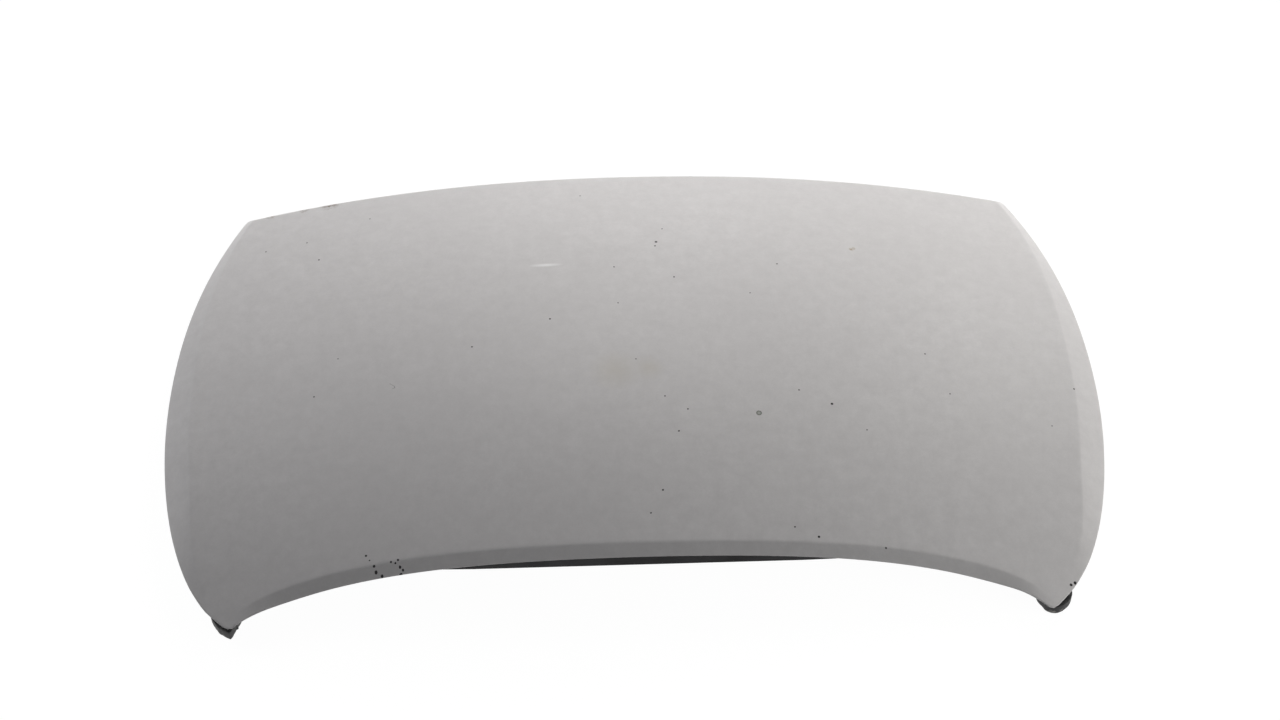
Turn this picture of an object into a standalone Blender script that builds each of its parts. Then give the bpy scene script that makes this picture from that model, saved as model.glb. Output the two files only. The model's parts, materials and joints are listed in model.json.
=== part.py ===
"""A car bonnet lying skin side up: a painted steel skin hemmed round a pressed inner frame, with the latch
striker, the hinge reinforcements, sealant pads and rubber buffers. Metres, +Z up, the nose towards +Y.

The skin is a shallow double-curved form cut off by its outline. A band along each edge turns down from it:
a narrow chamfer at the windscreen edge, a wide flank at each side and a short roll at the nose."""

import math

import bmesh
import bpy
from mathutils import Matrix, Vector

# Outline in plan. The windscreen edge crosses the centre line at y = 0.
LENGTH = 0.807
TIP_X = 0.5862
REAR_SAG = 0.0562
REAR_QUARTIC = 0.9096
TIP_HOOK = 0.0144
HOOK_POWER = 16
HEEL_OUT = 0.0349
HEEL_UP = 0.0318
NOSE_CORNER_X = 0.6232
NOSE_SAG = 0.0539
NOSE_POWER = 2.36
HEEL_PULL = 0.0912
HEEL_ANGLE = math.radians(49.35)
CORNER_PULL = 0.4639
CORNER_ANGLE = math.radians(70.66)

# Form of the skin: heights on the centre line and the fall to the sides at 0.66 m from it.
REAR_HEIGHT = 0.099
MIDDLE_HEIGHT = 0.129
NOSE_HEIGHT = 0.043
REAR_CROWN = 0.060
NOSE_CROWN = 0.050
CROWN_HALF = 0.66

# Bands that turn down along the edges: width in plan, and fall below the form.
REAR_BAND = 0.0145
REAR_DROP = 0.0110
REAR_FADE = 0.17
EDGE_BAND = 0.0155
NOSE_DROP = 0.010
FLANK_WIDTH = 0.040
FLANK_DROP = 0.020
FLANK_RISE = 0.30
FLANK_FALL = 0.42
NOSE_BLEND = 0.60
CREASE_FILLET = 0.004

# Sheets and the hem.
SKIN = 0.0008
INNER = 0.0007
CLEARANCE = 0.0003
HEM_RETURN = 0.008
HEM_FLANGE = 0.0095

# Inner frame.
RIB_DEPTH = 0.024
TIP_DEPTH = 0.009
TIP_REACH = 0.09
RIM_DEPTH = 0.006
RAIL_INSET = 0.020
RAIL_LIFT = 0.002
COWL_RAIL_Y = 0.014
COWL_RAIL_DEPTH = 0.0385
COWL_HALF = 0.27
COWL_BLEND = 0.12
POCKET_RADIUS = 0.032
POCKET_WALL = 0.009
POCKET_RIM = 0.020
POCKET_ROWS = (
    (0.112 * LENGTH, 0.316 * LENGTH),
    (0.372 * LENGTH, 0.576 * LENGTH),
    (0.632 * LENGTH, 0.812 * LENGTH),
)
POCKET_COLUMNS = ((-0.090, 0.090), (0.140, 0.320), (0.375, 0.550))
HINGE_ROW_START = 0.134 * LENGTH
LEAN = 0.10

# Latch striker under the nose.
STRIKER_Y = LENGTH - 0.085
STRIKER_PAD = (0.130, 0.056)
STRIKER_PLATE = (0.112, 0.040)
STRIKER_PLATE_THICK = 0.003
STRIKER_BOLT_X = 0.042
STRIKER_REACH = 0.028
STRIKER_HALF = 0.019
STRIKER_WIRE = 0.008
STRIKER_BEND = 0.0105

# Hinge seats at the windscreen corners.
HINGE_X = 0.520
HINGE_Y = 0.046
HINGE_PAD = (0.084, 0.050)
HINGE_PLATE = (0.076, 0.042)
REINFORCEMENT = 0.0016
SEAT_CORNER = 0.012
PLATE_CORNER = 0.010
NUT_PITCH = 0.044
NUT_ACROSS = 0.014
NUT_HEIGHT = 0.0065
BOLT = 0.008
BOLT_CLEARANCE = 0.0008
BOLT_HOLE = BOLT / 2 + BOLT_CLEARANCE
BOLT_CHAMFER = 0.0008
BOLT_FLANGE = 0.0087
BOLT_FLANGE_HEIGHT = 0.0012
BOLT_HEAD = 0.0065
BOLT_HEAD_HEIGHT = 0.0055
BOLT_BEYOND_NUT = 0.0013

# Rubber and plastic fittings, each on a round boss of the inner frame.
BOSS_STEP = 0.004
BOSS_MARGIN = 0.0015
STUD = 0.008
STUD_CLEARANCE = 0.0007
FITTING_GAP = 0.0004
COLLAR = 0.011
COLLAR_HEIGHT = 0.003
COLLAR_EDGE = 0.0012
BUFFER_X = 0.500
BUFFER_Y = LENGTH - 0.101
BUFFER_RADIUS = 0.013
BUFFER_HEIGHT = 0.012
BUFFER_ROUNDING = 0.004
PAD_X = 0.5825
PAD_Y = -0.0305
PAD_OUT = 0.012
PAD_BACK = 0.005
PAD_RADIUS = 0.025
PAD_SEAT = 0.0075
PAD_NECK = 0.008
PAD_NECK_SHARE = 0.15
PAD_SHOULDER = 0.012
PAD_ROUNDING = 0.006
BUSH_X = -0.350
BUSH_Y = 0.600 * LENGTH
BUSH_RADIUS = 0.010
BUSH_HEIGHT = 0.014
BUSH_ROUNDING = 0.002
BUSH_SOCKET = 0.005
BUSH_FLOOR = 0.004
SEALANT_RADIUS = 0.007
SEALANT_BULGE = 0.0014
SEALANT_STEPS = 8

# Steps of the meshes: spans across and along, points on a rounded corner, sides of a round piece.
ACROSS = 30
ALONG = 18
CROWDING = 0.25
ROUND_STEPS = 14
FITTING_STEPS = 10
BOLT_STEPS = 12
HOLE_STEPS = 8

TOTAL = 2 * (ACROSS + ALONG)


def smooth(t):
    t = min(max(t, 0.0), 1.0)
    return t * t * (3 - 2 * t)


def form(x, y):
    """Height of the skin's own form over the plan, before any edge turns down."""
    v = y / LENGTH
    rear = REAR_HEIGHT * (1 - v) * (1 - 2 * v)
    middle = MIDDLE_HEIGHT * 4 * v * (1 - v)
    nose = NOSE_HEIGHT * v * (2 * v - 1)
    crown = REAR_CROWN + (NOSE_CROWN - REAR_CROWN) * min(max(v, 0.0), 1.0)
    return rear + middle + nose - crown * (x / CROWN_HALF) ** 2


def slope(x, y, reach=0.001):
    """Gradient of the form."""
    across = (form(x + reach, y) - form(x - reach, y)) / (2 * reach)
    along = (form(x, y + reach) - form(x, y - reach)) / (2 * reach)
    return across, along


def crowded(u):
    """Spreads even steps from -1 to 1 so that they lie closer towards both ends."""
    return u * (1 + CROWDING) - CROWDING * u ** 3


def rear_edge(s):
    """The windscreen edge: a broad arch with the last of each end hooked back into a slender tip."""
    sag = REAR_SAG * ((1 - REAR_QUARTIC) * s ** 2 + REAR_QUARTIC * s ** 4)
    return Vector((TIP_X * s, -sag - TIP_HOOK * s ** HOOK_POWER))


def nose_edge(s):
    return Vector((NOSE_CORNER_X * s, LENGTH - NOSE_SAG * abs(s) ** NOSE_POWER))


def side_edge(t):
    """The right side from the heel, just past the rear tip, to the nose corner, as one cubic curve."""
    heel = rear_edge(1) + Vector((HEEL_OUT, HEEL_UP))
    corner = nose_edge(1)
    heel_handle = heel + HEEL_PULL * Vector((math.cos(HEEL_ANGLE), math.sin(HEEL_ANGLE)))
    corner_handle = corner + CORNER_PULL * Vector((math.cos(CORNER_ANGLE), -math.sin(CORNER_ANGLE)))
    back = 1 - t
    return (back ** 3 * heel + 3 * back ** 2 * t * heel_handle
            + 3 * back * t ** 2 * corner_handle + t ** 3 * corner)


def evenly(curve, count, fine=240):
    """count + 1 points at equal steps along a curve that a function of 0 to 1 gives."""
    points = [curve(k / fine) for k in range(fine + 1)]
    reach = [0.0]
    for a, b in zip(points, points[1:]):
        reach.append(reach[-1] + (b - a).length)
    found = []
    k = 0
    for step in range(count + 1):
        wanted = reach[-1] * step / count
        while k < fine - 1 and reach[k + 1] < wanted:
            k += 1
        share = (wanted - reach[k]) / (reach[k + 1] - reach[k])
        found.append(points[k].lerp(points[k + 1], min(share, 1.0)))
    return found


class Edge:
    """The edge of the bonnet as a ring of stations, counter-clockwise from the left rear tip.

    Each station has a point in plan, the width of its turned-down band and how far that band falls."""

    def __init__(self):
        rear = []
        nose = []
        for i in range(ACROSS):
            s = crowded(-1 + 2 * i / ACROSS)
            rear.append((rear_edge(s), REAR_BAND, REAR_DROP * smooth((1 - abs(s)) / REAR_FADE)))
            nose.append((nose_edge(-s), EDGE_BAND, NOSE_DROP))
        side = [(rear_edge(1), REAR_BAND, 0.0)]
        for j, point in enumerate(evenly(side_edge, ALONG - 1)):
            t = j / (ALONG - 1)
            flank = smooth(t / FLANK_RISE) * (1 - smooth((t - FLANK_FALL) / (1 - FLANK_FALL)))
            band = EDGE_BAND + (FLANK_WIDTH - EDGE_BAND) * flank
            fall = FLANK_DROP * flank + NOSE_DROP * smooth((t - NOSE_BLEND) / (1 - NOSE_BLEND))
            side.append((point, band, fall))
        mirrored = [(Vector((-p.x, p.y)), band, fall) for p, band, fall in reversed(side)]
        self.stations = rear + side[:-1] + nose + mirrored[:-1]
        self.plan = [s[0] for s in self.stations]
        self.inward = [mitre(self.plan, k) for k in range(TOTAL)]
        self.rim = []
        self.crease = []
        for k, (point, band, fall) in enumerate(self.stations):
            inner = point + self.inward[k] * band
            self.rim.append(Vector((point.x, point.y, form(point.x, point.y) - fall)))
            self.crease.append(Vector((inner.x, inner.y, form(inner.x, inner.y))))
        self.normal = [self.even_normal(k) for k in range(TOTAL)]

    def even_normal(self, k):
        """Vector that moves station k one unit off both band facets that meet in it."""
        before = self.facet(k - 1)
        after = self.facet(k)
        return (before + after) / (1 + before.dot(after))

    def facet(self, k):
        a, b = self.rim[k % TOTAL], self.rim[(k + 1) % TOTAL]
        c, d = self.crease[k % TOTAL], self.crease[(k + 1) % TOTAL]
        return (b - a + d - c).cross(c - a + d - b).normalized()

    def slant(self, k):
        """Step of one metre up the band, measured square to the edge."""
        band = self.stations[k][1]
        rise = self.crease[k].z - self.rim[k].z
        return (self.crease[k] - self.rim[k]) / math.hypot(band, rise)

    def on_band(self, k, along, below=0.0):
        return self.rim[k] + self.slant(k) * along - self.normal[k] * below

    def inside(self, k, distance):
        """Point in plan at a distance inside the edge."""
        return self.plan[k] + self.inward[k] * distance


def mitre(points, k):
    """Inward vector at corner k of a counter-clockwise ring that moves both its sides in by one unit."""
    count = len(points)
    before = (points[k] - points[k - 1]).normalized()
    after = (points[(k + 1) % count] - points[k]).normalized()
    first = Vector((-before.y, before.x))
    second = Vector((-after.y, after.x))
    return (first + second) / (1 + first.dot(second))


EDGE = Edge()
HEM_THICK = 2 * CLEARANCE + INNER + SKIN


def fold_point(k):
    """Lower edge of the hem's fold, on the sheet's middle surface."""
    return EDGE.on_band(k, 0.0, HEM_THICK)


def return_point(k):
    return EDGE.on_band(k, HEM_RETURN, HEM_THICK)


FLOOR = min(fold_point(k).z for k in range(TOTAL)) - SKIN * 0.75


def material(name, colour, roughness, metallic=0.0, coat=0.0):
    made = bpy.data.materials.new(name)
    made.use_nodes = True
    shader = made.node_tree.nodes["Principled BSDF"]
    shader.inputs["Base Color"].default_value = (*colour, 1.0)
    shader.inputs["Roughness"].default_value = roughness
    shader.inputs["Metallic"].default_value = metallic
    shader.inputs["Coat Weight"].default_value = coat
    made.diffuse_color = (*colour, 1.0)
    return made


def clear_scene():
    for obj in list(bpy.data.objects):
        bpy.data.objects.remove(obj, do_unlink=True)


def add_object(name, mesh, surface, location=(0, 0, 0), turn=None):
    obj = bpy.data.objects.new(name, mesh)
    PARTS.objects.link(obj)
    obj.parent = ROOT
    obj.location = location
    if turn is not None:
        obj.rotation_euler = turn.to_euler()
    mesh.materials.append(surface)
    return obj


def solidify(obj, thickness, offset=0.0):
    shell = obj.modifiers.new("sheet", "SOLIDIFY")
    shell.thickness = thickness
    shell.offset = offset
    shell.use_even_offset = True
    shell.use_quality_normals = True
    return shell


def finish_mesh(bm, name, sharp=30):
    mesh = bpy.data.meshes.new(name)
    bm.to_mesh(mesh)
    bm.free()
    mesh.shade_smooth()
    mesh.set_sharp_from_angle(angle=math.radians(sharp))
    return mesh


def grow(bm, edges, place, key, split=None):
    """Extrudes a ring of edges and puts each new vertex where place(its number) says. Returns the new edges.

    With split "out" or "in", each new quad is cut along the diagonal that starts on its inner ring, so that the
    layers of the hem have parallel facets whichever way they are grown."""
    made = bmesh.ops.extrude_edge_only(bm, edges=edges)["geom"]
    fresh = [g for g in made if isinstance(g, bmesh.types.BMVert)]
    for vert in fresh:
        vert.co = place(vert[key])
    known = set(fresh)
    for face in [g for g in made if split and isinstance(g, bmesh.types.BMFace)]:
        low, high = sorted({vert[key] for vert in face.verts})
        if high - low > 1:
            low, high = high, low
        inner_ring = [v for v in face.verts if (v in known) == (split == "in")]
        outer_ring = [v for v in face.verts if (v in known) != (split == "in")]
        start = next(v for v in inner_ring if v[key] == low)
        end = next(v for v in outer_ring if v[key] == high)
        bmesh.utils.face_split(face, start, end)
    return [g for g in made if isinstance(g, bmesh.types.BMEdge) and set(g.verts) <= known]


def build_skin(paint):
    """The form as a grid laid between the creases, then grown over the fillet, the band, the hem's fold
    and the return."""
    bm = bmesh.new()
    key = bm.verts.layers.int.new("station")
    bmesh.ops.create_grid(bm, x_segments=ACROSS, y_segments=ALONG, size=0.5)
    ring = [EDGE.inside(k, EDGE.stations[k][1] + CREASE_FILLET) for k in range(TOTAL)]
    for vert in bm.verts:
        i = round((vert.co.x + 0.5) * ACROSS)
        j = round((vert.co.y + 0.5) * ALONG)
        vert[key] = station_of(i, j) % TOTAL
        plan = patch(ring, i, j)
        vert.co = Vector((plan.x, plan.y, form(plan.x, plan.y)))
    edges = [e for e in bm.edges if e.is_boundary]
    edges = grow(bm, edges, fillet_point, key)
    edges = grow(bm, edges, lambda k: EDGE.on_band(k, HEM_FLANGE), key)
    edges = grow(bm, edges, lambda k: EDGE.rim[k], key, split="out")
    edges = grow(bm, edges, fold_point, key)
    grow(bm, edges, return_point, key, split="in")
    obj = add_object("outer_skin", finish_mesh(bm, "outer_skin"), paint)
    solidify(obj, SKIN)
    return obj


def fillet_point(k):
    """Foot of the crease's fillet on the band."""
    reach = math.hypot(EDGE.stations[k][1], EDGE.crease[k].z - EDGE.rim[k].z)
    return EDGE.on_band(k, reach - CREASE_FILLET)


def station_of(i, j):
    """Number of the edge station that corner i, j of the grid lies at. Only the grid's border uses it."""
    if j == 0:
        return i
    if i == ACROSS:
        return ACROSS + j
    if j == ALONG:
        return ACROSS + ALONG + (ACROSS - i)
    return 2 * ACROSS + ALONG + (ALONG - j)


def patch(ring, i, j):
    """Point i, j of the grid that the four sides of a ring of stations span."""
    u, v = i / ACROSS, j / ALONG
    rear, nose = ring[station_of(i, 0)], ring[station_of(i, ALONG)]
    left, right = ring[station_of(0, j) % TOTAL], ring[station_of(ACROSS, j)]
    corners = (ring[0] * (1 - u) * (1 - v) + ring[station_of(ACROSS, 0)] * u * (1 - v)
               + ring[station_of(0, ALONG)] * (1 - u) * v + ring[station_of(ACROSS, ALONG)] * u * v)
    return rear * (1 - v) + nose * v + left * (1 - u) + right * u - corners


def frame_depth(x, y):
    """How far the ribs of the inner frame lie below the form: less towards the rear tips."""
    tip = rear_edge(1)
    away = math.hypot(abs(x) - tip.x, y - tip.y)
    return TIP_DEPTH + (RIB_DEPTH - TIP_DEPTH) * smooth((away - PAD_RADIUS * 2) / TIP_REACH)


def rib_height(x, y):
    return form(x, y) - frame_depth(x, y)


def rail_point(k):
    """Foot of the wall that steps down from the hem. Behind the middle of the windscreen edge it runs straight,
    as a deeper rail whose lower edge shows below the skin."""
    plan = EDGE.inside(k, RAIL_INSET)
    height = max(rib_height(plan.x, plan.y), EDGE.rim[k].z + RAIL_LIFT)
    if k > ACROSS:
        return Vector((plan.x, plan.y, height))
    straight = 1 - smooth((abs(plan.x) - COWL_HALF) / COWL_BLEND)
    rail = REAR_HEIGHT - REAR_DROP - COWL_RAIL_DEPTH
    return Vector((plan.x, plan.y + (COWL_RAIL_Y - plan.y) * straight, height + (rail - height) * straight))


def rounded(corners, radius):
    """Three points on each corner of a plan outline, cut back by the radius."""
    found = []
    for k, corner in enumerate(corners):
        before = corner + (corners[k - 1] - corner).normalized() * radius
        after = corner + (corners[(k + 1) % len(corners)] - corner).normalized() * radius
        found += [before, before * 0.25 + corner * 0.5 + after * 0.25, after]
    return found


def inset(points, distance):
    return [p + mitre(points, k) * distance for k, p in enumerate(points)]


def circle(x, y, radius, steps):
    """Corners of a regular outline whose sides touch a hole or a boss of the given radius."""
    turns = [2 * math.pi * (k + 0.5) / steps for k in range(steps)]
    reach = radius / math.cos(math.pi / steps)
    return [Vector((x + reach * math.cos(a), y + reach * math.sin(a))) for a in turns]


def rectangle(x, y, size):
    half_x, half_y = size[0] / 2, size[1] / 2
    return [Vector((x - half_x, y - half_y)), Vector((x + half_x, y - half_y)),
            Vector((x + half_x, y + half_y)), Vector((x - half_x, y + half_y))]


def pocket_corners():
    """Corners in plan of every pocket between the ribs. The ribs lean in towards the nose."""
    found = []
    for row, (start, end) in enumerate(POCKET_ROWS):
        for column, (left, right) in enumerate(POCKET_COLUMNS):
            low = HINGE_ROW_START if row == 0 and column == 2 else start
            for side in ((1,) if column == 0 else (1, -1)):
                corners = [Vector((side * left * lean(low), low)), Vector((side * right * lean(low), low)),
                           Vector((side * right * lean(end), end)), Vector((side * left * lean(end), end))]
                found.append(corners if side > 0 else corners[::-1])
    return found


def lean(y):
    return 1 + LEAN * (1 - 2 * y / LENGTH)


class Seat:
    """A flat pad pressed into the inner frame: its plane, its outline and the holes in it."""

    def __init__(self, x, y, outline, holes, level, tilted=False):
        self.x, self.y, self.level = x, y, level
        self.across, self.along = slope(x, y) if tilted else (0.0, 0.0)
        self.outline = outline
        self.holes = holes

    def height(self, x, y):
        return self.level + self.across * (x - self.x) + self.along * (y - self.y)

    def matrix(self):
        """Frame with its origin at the seat's middle and +Z square to it."""
        up = Vector((-self.across, -self.along, 1)).normalized()
        forward = Vector((0, 1, self.along)).normalized()
        right = forward.cross(up).normalized()
        turn = Matrix((right, up.cross(right), up)).transposed()
        return Matrix.Translation((self.x, self.y, self.level)) @ turn.to_4x4()


def seats():
    """Every flat seat of the inner frame, by name."""
    found = {}
    pad = rounded(rectangle(0, STRIKER_Y, STRIKER_PAD), SEAT_CORNER)
    bolts = [circle(side * STRIKER_BOLT_X, STRIKER_Y, BOLT_HOLE, HOLE_STEPS) for side in (-1, 1)]
    found["striker"] = Seat(0, STRIKER_Y, pad, bolts, rib_height(0, STRIKER_Y))
    for name, side in (("left", -1), ("right", 1)):
        x = side * HINGE_X
        pad = rounded(rectangle(x, HINGE_Y, HINGE_PAD), SEAT_CORNER)
        bolts = [circle(x + end * NUT_PITCH / 2, HINGE_Y, BOLT_HOLE, HOLE_STEPS) for end in (-1, 1)]
        found["hinge_" + name] = Seat(x, HINGE_Y, pad, bolts, rib_height(x, HINGE_Y), tilted=True)
        x = side * BUFFER_X
        found["buffer_" + name] = boss(x, BUFFER_Y, BUFFER_RADIUS)
        found["pad_" + name] = boss(side * PAD_X, PAD_Y, PAD_SEAT, tilted=True)
    found["bush"] = boss(BUSH_X, BUSH_Y, BUSH_RADIUS)
    return found


def boss(x, y, radius, tilted=False):
    outline = circle(x, y, radius + BOSS_MARGIN, FITTING_STEPS)
    hole = circle(x, y, STUD / 2 + STUD_CLEARANCE, HOLE_STEPS)
    return Seat(x, y, outline, [hole], rib_height(x, y), tilted)


def add_ring(bm, points, key, height=0.0):
    """Closed ring of edges in plan. Each vertex carries its number."""
    verts = []
    for number, point in enumerate(points):
        vert = bm.verts.new((point.x, point.y, height))
        vert[key] = number
        verts.append(vert)
    return verts, [bm.edges.new((v, verts[(k + 1) % len(verts)])) for k, v in enumerate(verts)]


def fill(bm, edges):
    bmesh.ops.triangle_fill(bm, use_beauty=True, use_dissolve=False, edges=edges, normal=(0, 0, 1))


def build_inner_frame(paint):
    """The pressed inner frame: a web of ribs round the pockets and the seats, filled in plan, then grown up to
    the rims of the pockets, down to the flat seats and out to the flange that the hem grips."""
    bm = bmesh.new()
    key = bm.verts.layers.int.new("number")
    rail = [rail_point(k) for k in range(TOTAL)]
    rail_verts, rail_edges = add_ring(bm, rail, key)
    pockets = [rounded(corners, POCKET_RADIUS) for corners in pocket_corners()]
    pocket_rings = [add_ring(bm, outline, key) for outline in pockets]
    seat_list = list(seats().values())
    seat_rings = [add_ring(bm, inset(seat.outline, -BOSS_STEP), key) for seat in seat_list]
    web = list(rail_edges)
    for verts, edges in pocket_rings + seat_rings:
        web += edges
    fill(bm, web)
    for vert, point in zip(rail_verts, rail):
        vert.co.z = point.z
    for verts, edges in pocket_rings + seat_rings:
        for vert in verts:
            vert.co.z = rib_height(vert.co.x, vert.co.y)

    for outline, (verts, edges) in zip(pockets, pocket_rings):
        rim = [raised(p) for p in inset(outline, POCKET_WALL)]
        lip = [raised(p) for p in inset(outline, POCKET_WALL + POCKET_RIM)]
        edges = grow(bm, edges, lambda n, rim=rim: rim[n], key)
        grow(bm, edges, lambda n, lip=lip: lip[n], key)
    for seat, (verts, edges) in zip(seat_list, seat_rings):
        flat = [Vector((p.x, p.y, seat.height(p.x, p.y))) for p in seat.outline]
        edges = grow(bm, edges, lambda n, flat=flat: flat[n], key)
        for hole in seat.holes:
            verts, ring = add_ring(bm, hole, key)
            for vert in verts:
                vert.co.z = seat.height(vert.co.x, vert.co.y)
            edges += ring
        fill(bm, edges)
    edges = grow(bm, rail_edges, lambda k: EDGE.on_band(k, HEM_FLANGE, HEM_THICK / 2), key)
    edge_of_sheet = SKIN / 2 + CLEARANCE
    grow(bm, edges, lambda k: EDGE.on_band(k, edge_of_sheet, HEM_THICK / 2), key, split="out")
    bmesh.ops.recalc_face_normals(bm, faces=bm.faces)
    obj = add_object("inner_frame", finish_mesh(bm, "inner_frame"), paint)
    solidify(obj, INNER)
    return obj


def raised(point):
    """Point on the raised rim of a pocket, just under the skin."""
    return Vector((point.x, point.y, form(point.x, point.y) - RIM_DEPTH))


def build_plate(name, outline, holes, thickness, surface, matrix, bottom):
    """A flat plate with holes, lying with its lower face at the given height over the frame of a matrix."""
    bm = bmesh.new()
    key = bm.verts.layers.int.new("number")
    edges = []
    for ring in [outline] + holes:
        edges += add_ring(bm, ring, key)[1]
    fill(bm, edges)
    bmesh.ops.recalc_face_normals(bm, faces=bm.faces)
    place = matrix @ Matrix.Translation((0, 0, bottom + thickness / 2))
    obj = add_object(name, finish_mesh(bm, name), surface, place.to_translation(), place.to_3x3())
    solidify(obj, thickness)
    return obj


def build_turned(name, profile, surface, location, turn=None, steps=FITTING_STEPS):
    """A round piece turned from its profile, which runs from the top of the axis down the outer side."""
    bm = bmesh.new()
    verts = [bm.verts.new((r, 0, z)) for r, z in profile]
    for a, b in zip(verts, verts[1:]):
        bm.edges.new((a, b))
    mesh = bpy.data.meshes.new(name)
    bm.to_mesh(mesh)
    bm.free()
    obj = add_object(name, mesh, surface, location, turn)
    screw = obj.modifiers.new("turn", "SCREW")
    screw.axis = "Z"
    screw.angle = 2 * math.pi
    screw.steps = steps
    screw.render_steps = steps
    screw.use_merge_vertices = True
    screw.merge_threshold = 0.00001
    screw.use_smooth_shade = True
    return obj


def build_striker(steel, zinc):
    """The striker's plate and wire loop under the nose, its bolts, and the reinforcement over the inner frame."""
    seat = seats()["striker"]
    frame = seat.matrix()
    holes = [circle(side * STRIKER_BOLT_X, 0, BOLT_HOLE, HOLE_STEPS) for side in (-1, 1)]
    plate = rounded(rectangle(0, 0, STRIKER_PLATE), PLATE_CORNER)
    under = -INNER / 2 - CLEARANCE - STRIKER_PLATE_THICK
    build_plate("striker_plate", plate, holes, STRIKER_PLATE_THICK, zinc, frame, under)
    over = INNER / 2 + CLEARANCE
    build_plate("striker_reinforcement", plate, holes, REINFORCEMENT, steel, frame, over)
    top = over + REINFORCEMENT
    for name, side in (("left", -1), ("right", 1)):
        foot = frame @ Vector((side * STRIKER_BOLT_X, 0, 0))
        build_nut("striker_nut_" + name, zinc, frame, side * STRIKER_BOLT_X, 0, top + CLEARANCE)
        build_bolt("striker_bolt_" + name, zinc, foot, under - CLEARANCE, top + NUT_HEIGHT + BOLT_BEYOND_NUT)
    curve = bpy.data.curves.new("striker_loop", "CURVE")
    curve.dimensions = "3D"
    curve.bevel_depth = STRIKER_WIRE / 2
    curve.bevel_resolution = 2
    curve.use_fill_caps = True
    spline = curve.splines.new("POLY")
    low = STRIKER_BEND - STRIKER_REACH
    path = [(-STRIKER_HALF, -CLEARANCE), (-STRIKER_HALF, low)]
    for step in range(1, 5):
        a = math.pi / 2 * step / 4
        path.append((STRIKER_BEND * (1 - math.cos(a)) - STRIKER_HALF, low - STRIKER_BEND * math.sin(a)))
    path += [(-x, z) for x, z in reversed(path)]
    spline.points.add(len(path) - 1)
    for point, (x, z) in zip(spline.points, path):
        point.co = (x, 0, z, 1)
    loop = bpy.data.objects.new("striker_loop", curve)
    PARTS.objects.link(loop)
    loop.parent = ROOT
    loop.location = frame @ Vector((0, 0, under))
    curve.materials.append(zinc)


def build_nut(name, surface, frame, x, y, bottom):
    """A six-sided weld nut standing on a plate, with its bore."""
    outline = circle(0, 0, NUT_ACROSS / 2, 6)
    bore = circle(0, 0, BOLT / 2 + CLEARANCE, HOLE_STEPS)
    place = frame @ Matrix.Translation((x, y, 0))
    build_plate(name, outline, [bore], NUT_HEIGHT, surface, place, bottom)


def build_bolt(name, surface, foot, under, top):
    """A flanged bolt with its head below the striker plate and its shank up through the nut."""
    shank = BOLT / 2
    shoulder = under - BOLT_FLANGE_HEIGHT
    end = under - BOLT_HEAD_HEIGHT
    profile = [(0, top), (shank - BOLT_CHAMFER, top), (shank, top - BOLT_CHAMFER), (shank, under),
               (BOLT_FLANGE, under), (BOLT_FLANGE, shoulder), (BOLT_HEAD, shoulder - BOLT_CHAMFER),
               (BOLT_HEAD, end), (0, end)]
    build_turned(name, profile, surface, foot, steps=BOLT_STEPS)


def build_hinge_seat(name, side, steel, zinc):
    """The reinforcement and its two weld nuts, over the flat seat that the hinge is bolted to from below."""
    frame = seats()["hinge_" + name].matrix()
    ends = [end * NUT_PITCH / 2 for end in (-1, 1)]
    plate = rounded(rectangle(0, 0, HINGE_PLATE), PLATE_CORNER)
    bottom = INNER / 2 + CLEARANCE
    holes = [circle(x, 0, BOLT_HOLE, HOLE_STEPS) for x in ends]
    build_plate("hinge_reinforcement_" + name, plate, holes, REINFORCEMENT, steel, frame, bottom)
    for place, x in zip(("inner", "outer"), ends[::side]):
        build_nut(f"hinge_nut_{name}_{place}", zinc, frame, x, 0, bottom + REINFORCEMENT + CLEARANCE)


def fitting_profile(radius, height, round_over, sheet):
    """Profile of a fitting pushed through the frame: collar a distance over the seat's middle plane, neck through
    it, body the same distance below it."""
    neck = STUD / 2
    return [(0, sheet + COLLAR_HEIGHT), (neck, sheet + COLLAR_HEIGHT), (COLLAR / 2, sheet + COLLAR_EDGE),
            (COLLAR / 2, sheet), (neck, sheet), (neck, -sheet), (radius, -sheet), (radius, round_over - height),
            (radius - round_over * 0.4, round_over * 0.3 - height), (radius - round_over, -height), (0, -height)]


def build_fittings(rubber, plastic):
    """Front buffers, rear corner pads that stand on the floor, and the socket of the prop rod."""
    found = seats()
    sheet = INNER / 2 + FITTING_GAP
    for name in ("left", "right"):
        seat = found["buffer_" + name]
        profile = fitting_profile(BUFFER_RADIUS, BUFFER_HEIGHT, BUFFER_ROUNDING, sheet)
        build_turned("front_buffer_" + name, profile, rubber, (seat.x, seat.y, seat.level))
        build_corner_pad("rear_corner_pad_" + name, found["pad_" + name], sheet, rubber)
    seat = found["bush"]
    profile = fitting_profile(BUSH_RADIUS, BUSH_HEIGHT, BUSH_ROUNDING, sheet)
    profile[-1:] = [(BUSH_SOCKET, -BUSH_HEIGHT), (BUSH_SOCKET, -BUSH_FLOOR), (0, -BUSH_FLOOR)]
    build_turned("prop_rod_bush", profile, plastic, (seat.x, seat.y, seat.level))


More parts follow.
